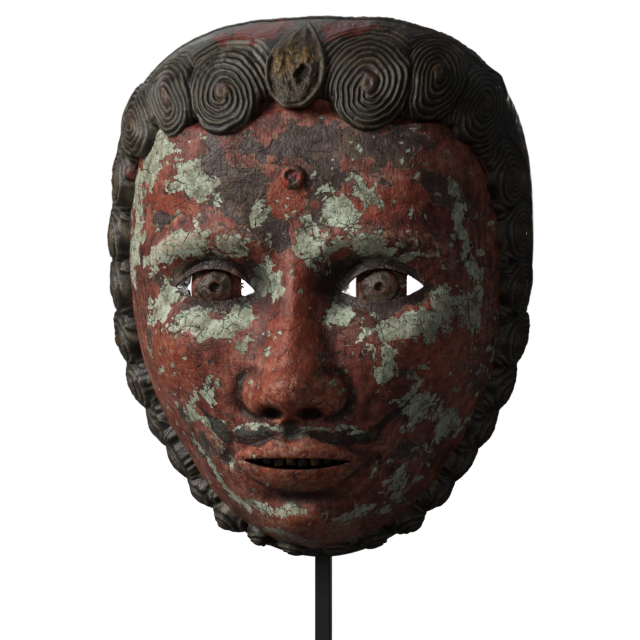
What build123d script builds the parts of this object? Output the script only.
from build123d import *
# Carved wooden face mask with curled hair and beard, on a black steel display stand.
# Millimetres, +Z up. Origin: centre of the base's underside. The mask looks along -Y,
# and its "right" is +X. Places on the mask are x and z, with z counted up from the chin;
# relief heights are counted forwards (-Y) from the plane of the mask's flat back rim.
import os
import numpy as np

os.makedirs("parts", exist_ok=True)

# ---------------------------------------------------------------- mask dimensions
MASK_W = 170.0          # width over the hair
MASK_H = 215.5          # chin to crown over the hair
SKIN_D = 69.0           # depth of the face's dome in front of the rim
HAIR_D = 72.0           # depth of the hair's dome
HAIR_FULL = 3.2         # how much squarer the hair's dome is in section at the crown
SKIN_FULL = 2.4         # the same for the forehead
HOLLOW_D = 46.0         # depth of the hollow
WALL = 13.0             # wall at the rim
RIM_Y = 18.0            # plane of the rim
CHIN_Z = 52.0           # height of the chin over the floor
OUT_Z = 127.0           # height of the widest line over the chin

# outlines: half width, reach above the widest line, reach below it
SKIN = (80.0, 83.0, 122.0)
HAIR = (MASK_W / 2, MASK_H - OUT_Z, OUT_Z)
HOLLOW = (HAIR[0] - WALL, HAIR[1] - WALL - 0.5, HAIR[2] - WALL - 3.0)

EYE_X, EYE_Z = 31.0, 107.0
EYE_H = 47.5            # relief height of the eyeball's centre
EYE_R = 14.0
EYE_GAP = 0.05          # clearance of the plug in its bore
EYE_HALF = 9.5          # half width of the plug between its flat sides
LID_R = 16.4
LID_STRETCH = 1.16      # width of the lids over their height
LIP_HALF = 26.0
SLOT_HALF = 20.5        # half width of the slot between the lips
SLOT_H = 53.0           # relief height of the slot's floor
TEETH, TOOTH_PITCH = 8, 4.55
DROP_Z, DROP_LEN, DROP_HALF = 171.0, 39.0, 11.8
DROP_DEEP = 9.5
STUD_Z, STUD_R, STUD_HEAD_R = 147.0, 3.0, 3.9
TAB_HALF = 10.0
TACK_X, TACK_Z, TACK_R, TACK_HEAD_R = 5.5, 54.0, 0.9, 2.4

# ---------------------------------------------------------------- stand dimensions
BASE_X, BASE_Y, BASE_T = 130.0, 106.0, 10.0
FELT_T = 1.5
FELT_INSET = 2.0
BASE_TOP = FELT_T + BASE_T
POST_S = 6.35           # quarter-inch square bar
POST_Y = 28.5
POST_TOP = CHIN_Z + 112.0
POCKET = 3.0            # depth of the post's pocket in the base
SCREW_R = 1.95
SCREW_Z = FELT_T + 0.1  # underside of the screw's head
ARM_R = 2.0
ARM_DEEP = 15.0         # length of the arm inside the post
ARM_BEND = 12.0
PIN_Z = 178.0           # height over the chin where the pin's axis meets the hollow
PIN_DEEP = 9.5
HOLE_DEEP = 11.0
SLEEVE_R = 3.0
BAR_R, BAR_Y, BAR_Z, BAR_HALF = 2.5, 23.3, CHIN_Z + 27.0, 37.0
PAD_R, PAD_IN = 5.1, 24.0
PAD_OVER = 1.0          # reach of a pad past the bar's end

# ---------------------------------------------------------------- relief tables
# where the hair begins: angle round the head, fraction of the skin's outline
HAIR_EDGE = ([-90, -50, -20, 0, 20, 40, 55, 75, 90],
             [0.95, 0.91, 0.87, 0.83, 0.78, 0.70, 0.60, 0.50, 0.50])

# mirrored bumps: height, centre x, centre z, radius x, radius z, steepness
FACE_BUMPS = [
    (-9.5, EYE_X, EYE_Z, 19, 11.5, 1.25),   # eye socket
    (-5.5, 15, 108, 7.5, 12, 1),            # beside the nose's bridge
    (5.0, 44, 85, 19, 15, 1),               # cheekbone
    (-3.0, 48, 50, 14, 18, 1),              # hollow of the cheek
    (2.0, 0, 146, 30, 16, 1),               # forehead
    (7.5, 0, 46, 30, 21, 1.15),             # mouth
    (19.0, 0, 13.5, 21, 12.5, 1.1),         # chin
    (5.0, 30, 20, 22, 16, 1),               # jaw
]
CHIN_CREASE = (-3.2, 0, 28.0, 17, 3.6, 1)

# nose: z, height of the ridge; z, half width of the ridge
NOSE_RIDGE = ([58, 66, 71, 84, 97, 108, 117, 128],
              [80, 86.5, 88, 81.5, 75.2, 71.2, 69.3, 64])
NOSE_WIDTH = ([60, 72, 84, 97, 108, 120, 130],
              [15, 15.0, 13.2, 10.5, 9.2, 14, 18])

# lips, upper and lower: height, z, half thickness
LIPS = [(4.5, 47.4, 4.4), (5.5, 36.3, 4.6)]

# mirrored curls of the hair and beard: x, z, size
CURLS = [(26, 180, 15), (50, 179, 13), (67, 168, 12), (76, 149, 11), (81, 128, 10),
         (82, 108, 9.5), (80, 89, 9), (76, 71, 8.5), (70, 55, 8), (62, 40, 7.5),
         (52, 27, 7), (40, 16, 6.5), (27, 8.5, 6), (12, 4.5, 6)]


# ---------------------------------------------------------------- the carved relief
def smooth_step(start, end, value):
    t = np.clip((value - start) / (end - start), 0, 1)
    return t * t * (3 - 2 * t)


def smooth_max(a, b, sharpness):
    top = np.maximum(a, b)
    return top + np.log(np.exp(-sharpness * (top - a)) + np.exp(-sharpness * (top - b))) / sharpness


def outline_power(dz):
    """Exponent of the outline's superellipse, squarer above the widest line."""
    return 1.92 + 0.88 * smooth_step(-12, 24, dz)


def outline_share(x, z, outline):
    """Distance from the outline's centre, as a fraction of the outline's own."""
    half, above, below = outline
    dz = z - OUT_Z
    power = outline_power(dz)
    reach = np.where(dz > 0, above, below)
    return ((np.abs(x) / half) ** power + (np.abs(dz) / reach) ** power + 1e-12) ** (1 / power)


def outline_angle(x, z, outline):
    """Angle above the widest line, in radians."""
    half, above, below = outline
    dz = z - OUT_Z
    return np.arctan2(dz / np.where(dz > 0, above, below), np.abs(x) / half)


def dome(x, z, outline, depth, full=0.0):
    share = outline_share(x, z, outline)
    rise = np.sin(outline_angle(x, z, outline))
    power = 3.9 - 1.1 * rise + 0.2 * rise ** 2 + full * smooth_step(0.0, 0.8, rise)
    return np.where(share > 1, -depth * (share - 1) * power, depth * (1 - share ** power))


def head_angle(x, z):
    return np.degrees(outline_angle(x, z, SKIN))


def hair_line(x, z):
    """Distance outwards from the line where the hair begins."""
    edge = np.interp(head_angle(x, z), *HAIR_EDGE)
    return (outline_share(x, z, SKIN) - edge) * SKIN[0]


def bump(x, z, height, centre_x, centre_z, radius_x, radius_z, steepness):
    q = ((np.abs(x) - centre_x) / radius_x) ** 2 + ((z - centre_z) / radius_z) ** 2
    return height * np.exp(-q ** steepness)


def ball(x, z, centre_x, centre_z, base, radius_x, radius_z, rise):
    """An ellipsoid bump for smooth_max, falling away steeply past its edge."""
    q = ((x - centre_x) / radius_x) ** 2 + ((z - centre_z) / radius_z) ** 2
    inside = base + rise * np.sqrt(np.maximum(1 - q, 0))
    return np.where(q < 1, inside, base - 26 * (np.sqrt(q) - 1) - 2.0)


def eyebrow(x, z):
    ax = np.abs(x)
    t = np.clip((ax - 6) / 56, 0, 1)
    brow_z = 119.5 + 8.0 * np.sin(np.pi * t ** 0.85) - 2.0 * t
    ends = smooth_step(2, 14, ax) * (1 - smooth_step(48, 64, ax))
    return 4.2 * np.exp(-0.5 * ((z - brow_z) / 4.6) ** 2) * ends


def with_nose(height, x, z):
    """Adds the ridge, the tip and the two wings."""
    across = 13.0 * (np.abs(x) / np.interp(z, *NOSE_WIDTH)) ** 1.75
    ridge = np.interp(z, *NOSE_RIDGE) - across - 14 * (1 - smooth_step(132, 118, z))
    ridge = np.where(z < 66, ridge - ((66 - z) / 3.4) ** 2, ridge)
    ridge = np.maximum(ridge - 90 * smooth_step(120, 140, z), height - 30)
    height = smooth_max(height, ridge, 0.40)
    height = smooth_max(height, ball(x, z, 0, 69.5, 76, 9.6, 8.6, 13.0), 0.45)
    for side in (-1, 1):
        wing = ball(x, z, side * 12.2, 67.0, 66.5, 7.2, 7.4, 11.0)
        height = smooth_max(height, wing, 0.45)
    return height


def lids(x, z):
    q = ((np.abs(x) - EYE_X) / LID_STRETCH) ** 2 + (z - EYE_Z) ** 2
    fall = 30 * np.clip(np.sqrt(q) / LID_R - 1, 0, 2)
    return EYE_H + np.sqrt(np.maximum(LID_R ** 2 - q, 0)) - fall


def face(x, z):
    height = dome(x, z, SKIN, SKIN_D, SKIN_FULL) + eyebrow(x, z)
    for entry in FACE_BUMPS:
        height = height + bump(x, z, *entry)
    height = with_nose(height, x, z)
    lip_share = np.clip(np.abs(x) / LIP_HALF, 0, 1)
    for rise, lip_z, thick in LIPS:
        height = height + rise * np.exp(-(((z - lip_z) / thick) ** 2)) * (1 - lip_share ** 2)
    height = height + bump(x, z, *CHIN_CREASE)
    return smooth_max(height, lids(x, z), 0.7)


def hair_seat(x, z):
    """The hair's dome, thinned towards the brow so that the curls lie on it."""
    full = dome(x, z, HAIR, HAIR_D, HAIR_FULL)
    near_brow = smooth_step(20.0, 1.0, hair_line(x, z)) * smooth_step(10.0, 40.0, head_angle(x, z))
    return full - near_brow * np.clip(full - face(x, z) - 2.5, 0.0, 7.0)


def outer(x, z):
    hair_share = smooth_step(-4.0, 4.0, hair_line(x, z))
    hair = hair_seat(x, z)
    for curl_x, curl_z, size in CURLS:
        q = ((np.abs(x) - curl_x) ** 2 + (z - curl_z) ** 2) / (0.62 * size) ** 2
        hair = hair + 2.0 * np.exp(-q) * smooth_step(0.0, 10.0, hair)
    return face(x, z) * (1 - hair_share) + hair * hair_share


def hollow(x, z):
    return dome(x, z, HOLLOW, HOLLOW_D)


def centre_y(relief, z):
    """Y of a relief on the mask's middle line."""
    return RIM_Y - float(relief(np.array([0.0]), np.array([float(z)]))[0])


# ---------------------------------------------------------------- grids of cubic patches
def floats(values):
    return tuple(float(v) for v in values)


def slopes(grid, axis):
    g = np.moveaxis(grid, axis, 0)
    slope = np.empty_like(g)
    slope[1:-1] = (g[2:] - g[:-2]) / 2
    slope[0] = 2 * (g[1] - g[0]) - slope[1]
    slope[-1] = 2 * (g[-1] - g[-2]) - slope[-2]
    return np.moveaxis(slope, 0, axis)


def edge_chain(points, tangents):
    return [Edge.make_bezier(floats(p), floats(p + a / 3), floats(q - b / 3), floats(q))
            for p, q, a, b in zip(points[:-1], points[1:], tangents[:-1], tangents[1:])]


def cubic_patches(grid):
    """Smooth faces through a grid of points, and its four edge chains in order round it."""
    row_slope, col_slope = slopes(grid, 1), slopes(grid, 0)
    twist = slopes(row_slope, 0)
    faces = []
    for i in range(grid.shape[0] - 1):
        for j in range(grid.shape[1] - 1):
            # each corner of the patch sets its own 2 x 2 share of the 4 x 4 poles
            poles = np.zeros((4, 4, 3))
            for r, r_in, a in ((0, 1, i), (3, -1, i + 1)):
                for c, c_in, b in ((0, 1, j), (3, -1, j + 1)):
                    corner = grid[a, b]
                    in_row = c_in * row_slope[a, b] / 3
                    in_col = r_in * col_slope[a, b] / 3
                    poles[r, c] = corner
                    poles[r, c + c_in] = corner + in_row
                    poles[r + r_in, c] = corner + in_col
                    poles[r + r_in, c + c_in] = (
                        corner + in_row + in_col + r_in * c_in * twist[a, b] / 9)
            faces.append(Face.make_bezier_surface([[floats(p) for p in row] for row in poles]))
    ring = (edge_chain(grid[0], row_slope[0]), edge_chain(grid[:, -1], col_slope[:, -1]),
            edge_chain(grid[-1], row_slope[-1]), edge_chain(grid[:, 0], col_slope[:, 0]))
    return faces, ring


def rounded_grid(relief, outline, columns, rows):
    """Points of a relief over an outline, with the border in the rim plane."""
    half, above, below = outline
    u, v = np.linspace(-1, 1, columns), np.linspace(-1, 1, rows)
    u, v = np.meshgrid(u - 0.28 * np.sin(np.pi * u) / np.pi, v)
    # square to unit disc, then disc to outline
    disc_x, disc_z = u * np.sqrt(1 - v * v / 2), v * np.sqrt(1 - u * u / 2)
    reach = np.where(disc_z > 0, above, below)
    power = outline_power(disc_z * reach)
    norm = (np.abs(disc_x) ** power + np.abs(disc_z) ** power + 1e-12) ** (1 / power)
    rho = np.hypot(disc_x, disc_z)
    x, z = half * disc_x * rho / norm, OUT_Z + reach * disc_z * rho / norm
    border = (np.abs(u) > 1 - 1e-9) | (np.abs(v) > 1 - 1e-9)
    return np.stack([x, RIM_Y - np.where(border, 0.0, relief(x, z)), CHIN_Z + z], -1)


def relief_block(relief, x0, x1, z0, z1, count, deep):
    """A slab whose front is a relief and whose back is the same surface, deep mm behind."""
    x, z = np.meshgrid(np.linspace(x0, x1, count), np.linspace(z0, z1, count))
    grid = np.stack([x, RIM_Y - relief(x, z), CHIN_Z + z], -1)
    front, ring = cubic_patches(grid)
    back, _ = cubic_patches(grid + np.array([0.0, deep, 0.0]))
    walls = [Face.extrude(edge, Vector(0, deep, 0)) for side in ring for edge in side]
    return Solid(Shell(front + back + walls))


# ---------------------------------------------------------------- solid helpers
ACROSS, FORWARD, BACKWARD, UP = (1, 0, 0), (0, -1, 0), (0, 1, 0), (0, 0, 1)
ON_END = (Align.CENTER, Align.CENTER, Align.MIN)


def box(x0, x1, y0, y1, z0, z1):
    return Pos((x0 + x1) / 2, (y0 + y1) / 2, (z0 + z1) / 2) * Box(x1 - x0, y1 - y0, z1 - z0)


def largest(shape):
    """The largest solid of a result."""
    parts = shape if isinstance(shape, (list, tuple)) else [shape]
    solids = [solid for part in parts for solid in part.solids()]
    return sorted(solids, key=lambda s: s.volume)[-1]


def rod(origin, direction, radius, length, x_dir=ACROSS):
    plane = Plane(origin=origin, x_dir=x_dir, z_dir=direction)
    return plane * Cylinder(radius, length, align=ON_END)


def prism(sides, y0, y1):
    """A closed outline of splines in x, z, drawn along y."""
    wire = Wire([Edge.make_spline([Vector(float(x), y0, CHIN_Z + float(z)) for x, z in side])
                 for side in sides])
    return Solid.extrude(Face(wire), Vector(0, y1 - y0, 0))


def lens(x, middle, rise, fall):
    """Upper and lower sides of an outline that is pointed at both ends."""
    upper, lower = middle + rise, middle - fall
    for end in (0, -1):
        upper[end] = lower[end] = middle[end]
    return [list(zip(x, upper)), list(zip(x[::-1], lower[::-1]))]


def write(name, shape):
    export_step(shape, f"parts/{name}.step")


# ---------------------------------------------------------------- mask pieces
def mask_blank():
    """The mask before its openings are cut, and the solid that fills its hollow."""
    front, front_ring = cubic_patches(rounded_grid(outer, HAIR, 35, 49))
    back, back_ring = cubic_patches(rounded_grid(hollow, HOLLOW, 9, 11))
    outer_wire = Wire([edge for side in front_ring for edge in side])
    inner_wire = Wire([edge for side in back_ring for edge in side])
    blank = Solid(Shell(front + back + [Face(outer_wire, [inner_wire])]))
    return blank, Solid(Shell(back + [Face(inner_wire)]))


def almond(side):
    u = np.linspace(0, 1, 15)
    rise = 7.6 * np.sin(np.pi * u ** 0.92) ** 0.80
    fall = 4.6 * np.sin(np.pi * u ** 1.10) ** 0.85
    return lens(side * (16.2 + 30.4 * u), 105.2 + 2.0 * u, rise, fall)


def ball_nose(x, radius, back_y):
    y, z = RIM_Y - EYE_H, CHIN_Z + EYE_Z
    return largest(rod((x, y, z), BACKWARD, radius, back_y - y) + Pos(x, y, z) * Sphere(radius))


def eye(side, scoop):
    """The eye plug, and the bore and almond opening cut for it."""
    x = side * EYE_X
    bore = ball_nose(x, EYE_R + EYE_GAP, RIM_Y - 30)
    opening = prism(almond(side), RIM_Y - 78, RIM_Y - EYE_H)
    flats = box(x - EYE_HALF, x + EYE_HALF, -200, 200, 0, 400)
    plug = largest(ball_nose(x, EYE_R, RIM_Y - 36) & flats)
    return largest(plug - scoop), [bore, opening]


def lips_slot():
    x = np.linspace(-SLOT_HALF, SLOT_HALF, 21)
    swell = 1 - (np.abs(x) / SLOT_HALF) ** 2.4
    middle = 42.0 + 1.4 * (np.abs(x) / LIP_HALF) ** 2
    return prism(lens(x, middle, 2.4 * swell, 2.1 * swell), RIM_Y - 85, RIM_Y - SLOT_H)


def upper_teeth(slot):
    teeth = []
    for i in range(TEETH):
        x = (i - (TEETH - 1) / 2) * TOOTH_PITCH
        width = 4.2 if 2 <= i <= 5 else 3.8
        front_y = RIM_Y - 62.0 + 0.012 * x * x
        block = box(x - width / 2, x + width / 2, front_y, RIM_Y - SLOT_H,
                    CHIN_Z + 41.0, CHIN_Z + 46.0)
        teeth.append(largest(block & slot))
    return Compound(children=teeth)


def drop_width(z):
    """Half width of the forehead drop."""
    t = np.clip((z - DROP_Z) / DROP_LEN, 0, 1)
    return DROP_HALF * np.sin(np.pi * (1 - t) ** 1.35) ** 0.6


def drop_relief(x, z):
    width = np.maximum(drop_width(z), 3.0)
    bulge = np.sqrt(np.maximum(1 - (np.abs(x) / (width + 1.5)) ** 2, 0.02))
    return hair_seat(x, z) + 1.0 + 4.5 * bulge


def forehead_drop():
    z = DROP_Z + DROP_LEN * np.concatenate([[0.0], np.linspace(0.04, 0.97, 14), [1.0]])
    width = drop_width(z)
    width[0] = width[-1] = 0.0
    outline = [list(zip(width, z)), list(zip(-width[::-1], z[::-1]))]
    block = relief_block(drop_relief, -18.0, 18.0, 166.0, 214.0, 13, DROP_DEEP)
    return largest(block & prism(outline, RIM_Y - 95, RIM_Y + 5))


def brow_stud():
    """A shank with a domed head on the forehead."""
    skin_y = centre_y(face, STUD_Z)
    z, head_y = CHIN_Z + STUD_Z, skin_y - 0.2
    shank = rod((0, head_y, z), BACKWARD, STUD_R, 8.2)
    in_front = box(-9, 9, skin_y - 9, head_y, CHIN_Z, CHIN_Z + 200)
    head = Pos(0, skin_y + 0.6, z) * Sphere(STUD_HEAD_R) & in_front
    return largest(shank + head)


def bite_tab(blank):
    """A strip up the hollow's wall with a tongue reaching back behind the mouth."""
    # side outline in y, z: into the wall, back down in the hollow, then round the tongue
    side = [(centre_y(hollow, z) - 1.2, z) for z in (44.0, 48.0, 52.0, 56.0, 60.0)]
    side += [(centre_y(hollow, z) + 2.0, z) for z in (60.0, 56.0, 52.0, 48.5, 46.6)]
    side += [(centre_y(hollow, 45) + 5.0, 45.2), (RIM_Y - 9.0, 44.6),
             (RIM_Y - 9.0, 42.4), (centre_y(hollow, 44) + 4.0, 42.9)]
    wire = Wire.make_polygon([Vector(-TAB_HALF, y, CHIN_Z + z) for y, z in side], close=True)
    return largest(Solid.extrude(Face(wire), Vector(2 * TAB_HALF, 0, 0)) - blank)


def tab_tack(side):
    x, y, z = side * TACK_X, centre_y(hollow, TACK_Z) + 2.0, CHIN_Z + TACK_Z
    shank = rod((x, y, z), FORWARD, TACK_R, 11.0)
    return largest(shank + rod((x, y - 0.3, z), BACKWARD, TACK_HEAD_R, 1.3))


# ---------------------------------------------------------------- the pin's slanted axis
PIN_AXIS = Vector(0, -1, 1).normalized()
PIN_Y = centre_y(hollow, PIN_Z)
PIN_FOOT = Vector(0, PIN_Y, CHIN_Z + PIN_Z)     # where the axis meets the hollow


def on_pin(radius, start, end):
    """A cylinder on the pin's axis, between two distances from the pin's foot."""
    return rod(PIN_FOOT + PIN_AXIS * start, PIN_AXIS, radius, end - start)


def pin_arm():
    """A round rod from the post's top, bent 45 degrees into the slanted hole."""
    meet = PIN_FOOT - PIN_AXIS * ((POST_Y - PIN_Y) / PIN_AXIS.Z)    # on the post's line
    setback = ARM_BEND * float(np.tan(np.radians(45 / 2)))
    foot = Vector(0, POST_Y, POST_TOP - ARM_DEEP)
    bend_in = Vector(0, POST_Y, meet.Z - setback)
    bend_out = meet + PIN_AXIS * setback
    path = Wire([Edge.make_line(foot, bend_in),
                 Edge.make_tangent_arc(bend_in, Vector(UP), bend_out),
                 Edge.make_line(bend_out, PIN_FOOT + PIN_AXIS * PIN_DEEP)])
    return largest(sweep(Plane(origin=foot, x_dir=ACROSS, z_dir=UP) * Circle(ARM_R), path=path))


# ---------------------------------------------------------------- stand pieces
def chin_bar():
    bar = rod((-BAR_HALF, BAR_Y, BAR_Z), ACROSS, BAR_R, 2 * BAR_HALF, x_dir=BACKWARD)
    return largest(chamfer(bar.edges().filter_by(GeomType.CIRCLE), 0.5))


def chin_pad(side, bar):
    start_x = PAD_IN if side > 0 else -BAR_HALF - PAD_OVER
    pad = rod((start_x, BAR_Y, BAR_Z), ACROSS, PAD_R, BAR_HALF + PAD_OVER - PAD_IN,
              x_dir=BACKWARD)
    pad = chamfer(pad.edges().filter_by(GeomType.CIRCLE), 0.8)
    return largest(pad - bar)


def square_post(bar):
    half = POST_S / 2
    post = box(-half, half, POST_Y - half, POST_Y + half, BASE_TOP - POCKET, POST_TOP)
    post = largest(chamfer(post.edges().filter_by(Axis.Z), 0.5))
    post = largest(post - bar)
    post = largest(post - rod((0, POST_Y, POST_TOP - ARM_DEEP), UP, ARM_R, 20.0))
    return largest(post - rod((0, POST_Y, 0), UP, 2.0, 24.0))      # screw hole


def base_plate():
    plate = box(-BASE_X / 2, BASE_X / 2, -BASE_Y / 2, BASE_Y / 2, FELT_T, BASE_TOP)
    plate = fillet(plate.edges().filter_by(Axis.Z), 3.0)
    plate = chamfer(plate.faces().sort_by(Axis.Z)[-1].edges(), 1.0)
    half = POST_S / 2 + 0.05
    plate = plate - box(-half, half, POST_Y - half, POST_Y + half,
                        BASE_TOP - POCKET, BASE_TOP + 1)
    plate = plate - rod((0, POST_Y, 0), UP, 2.25, 20)
    return largest(plate - Pos(0, POST_Y, FELT_T) * Cone(4.2, 2.2, 2.2, align=ON_END))


def base_felt():
    half_x, half_y = BASE_X / 2 - FELT_INSET, BASE_Y / 2 - FELT_INSET
    felt = box(-half_x, half_x, -half_y, half_y, 0, FELT_T)
    felt = fillet(felt.edges().filter_by(Axis.Z), 2.5)
    return largest(felt - rod((0, POST_Y, -1), UP, 6.0, 5))


def post_screw():
    screw = Pos(0, POST_Y, SCREW_Z) * Cone(4.0, SCREW_R, 2.05, align=ON_END)
    screw = screw + rod((0, POST_Y, SCREW_Z), UP, SCREW_R, 18.0)
    socket = Pos(0, POST_Y, FELT_T) * extrude(RegularPolygon(1.4, 6), amount=1.7)
    return largest(screw - socket)


# ---------------------------------------------------------------- build the mask
blank, scoop = mask_blank()
cuts = []               # everything taken out of the blank in one go
for name, side in (("eye_left", -1), ("eye_right", 1)):
    plug, eye_cuts = eye(side, scoop)
    cuts += eye_cuts
    write(name, plug)

slot = lips_slot()
write("upper_teeth", upper_teeth(slot))
drop = forehead_drop()
write("forehead_drop", drop)
stud = brow_stud()
write("brow_stud", stud)
tab = bite_tab(blank)
tacks = [tab_tack(side) for side in (-1, 1)]
write("bite_tab", largest(tab.cut(*tacks)))
write("bite_tab_tacks", Compound(children=tacks))

pin_hole = largest(on_pin(SLEEVE_R, -4.0, HOLE_DEEP))
cuts += [slot, drop, stud, *tacks, pin_hole]
write("mask_shell", largest(blank.cut(*cuts)))

# ---------------------------------------------------------------- build the stand
sleeve_bore = on_pin(ARM_R + 0.06, 0.0, HOLE_DEEP + 1)
write("pin_sleeve", largest(on_pin(SLEEVE_R, 0.4, HOLE_DEEP) - sleeve_bore))
write("pin_arm", pin_arm())
write("pin_collar", largest(on_pin(6.0, -4.4, -2.4) - on_pin(ARM_R, -6.0, 0.0)))
write("pin_pad", largest(on_pin(5.8, -2.4, -0.9) - on_pin(ARM_R + 0.1, -6.0, 0.5)))
bar = chin_bar()
write("chin_bar", bar)
write("post", square_post(bar))
for name, side in (("chin_pad_left", -1), ("chin_pad_right", 1)):
    write(name, chin_pad(side, bar))
write("base_plate", base_plate())
write("base_felt", base_felt())
write("post_screw", post_screw())
